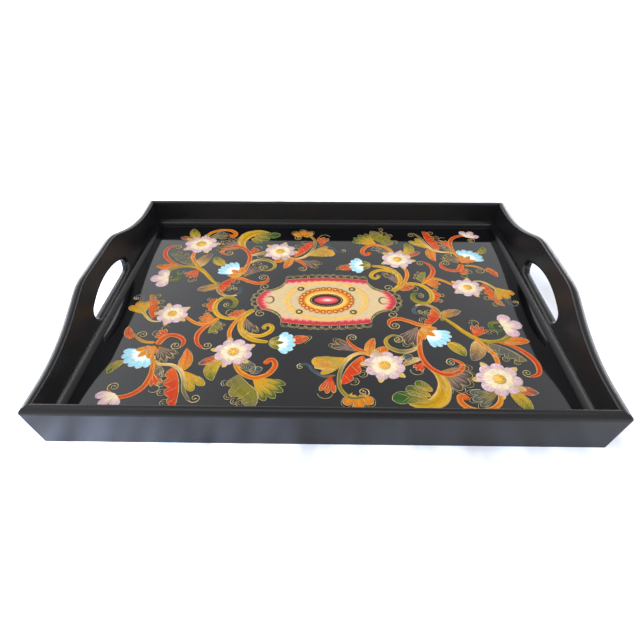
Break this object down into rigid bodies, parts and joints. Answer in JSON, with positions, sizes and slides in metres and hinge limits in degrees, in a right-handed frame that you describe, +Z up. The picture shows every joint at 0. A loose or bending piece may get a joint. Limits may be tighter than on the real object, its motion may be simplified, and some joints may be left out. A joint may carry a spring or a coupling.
{
  "type": "painted serving tray",
  "caption": "Rectangular serving tray: a flat painted base inside low outward-leaning walls, with raised curved ends cut through by hand holes for carrying.",
  "frame": {"origin": "middle of the footprint, on the plane that the bottom edges of the walls rest on", "axes": "+X along the length towards the right-hand handle, +Y from the front rail to the back rail, +Z up"},
  "size_m": [0.464, 0.358, 0.0643],
  "materials": {
    "lacquer": "black lacquer, satin, over wood",
    "gloss_lacquer": "black lacquer, polished, over board, with painted flowers under it",
    "bare_wood": "unfinished",
    "brad_steel": "plain wire"
  },
  "bodies": {
    "root": {"base_board": "gloss_lacquer", "front_rail": "lacquer", "front_bead": "lacquer", "right_end": "lacquer", "right_bead": "lacquer", "back_rail": "lacquer", "back_bead": "lacquer", "left_end": "lacquer", "left_bead": "lacquer", "front_left_spline": "bare_wood", "front_left_lower_brad": "brad_steel", "front_left_upper_brad": "brad_steel", "front_right_spline": "bare_wood", "front_right_lower_brad": "brad_steel", "front_right_upper_brad": "brad_steel", "back_right_spline": "bare_wood", "back_right_lower_brad": "brad_steel", "back_right_upper_brad": "brad_steel", "back_left_spline": "bare_wood", "back_left_lower_brad": "brad_steel", "back_left_upper_brad": "brad_steel"}
  },
  "joints": []
}
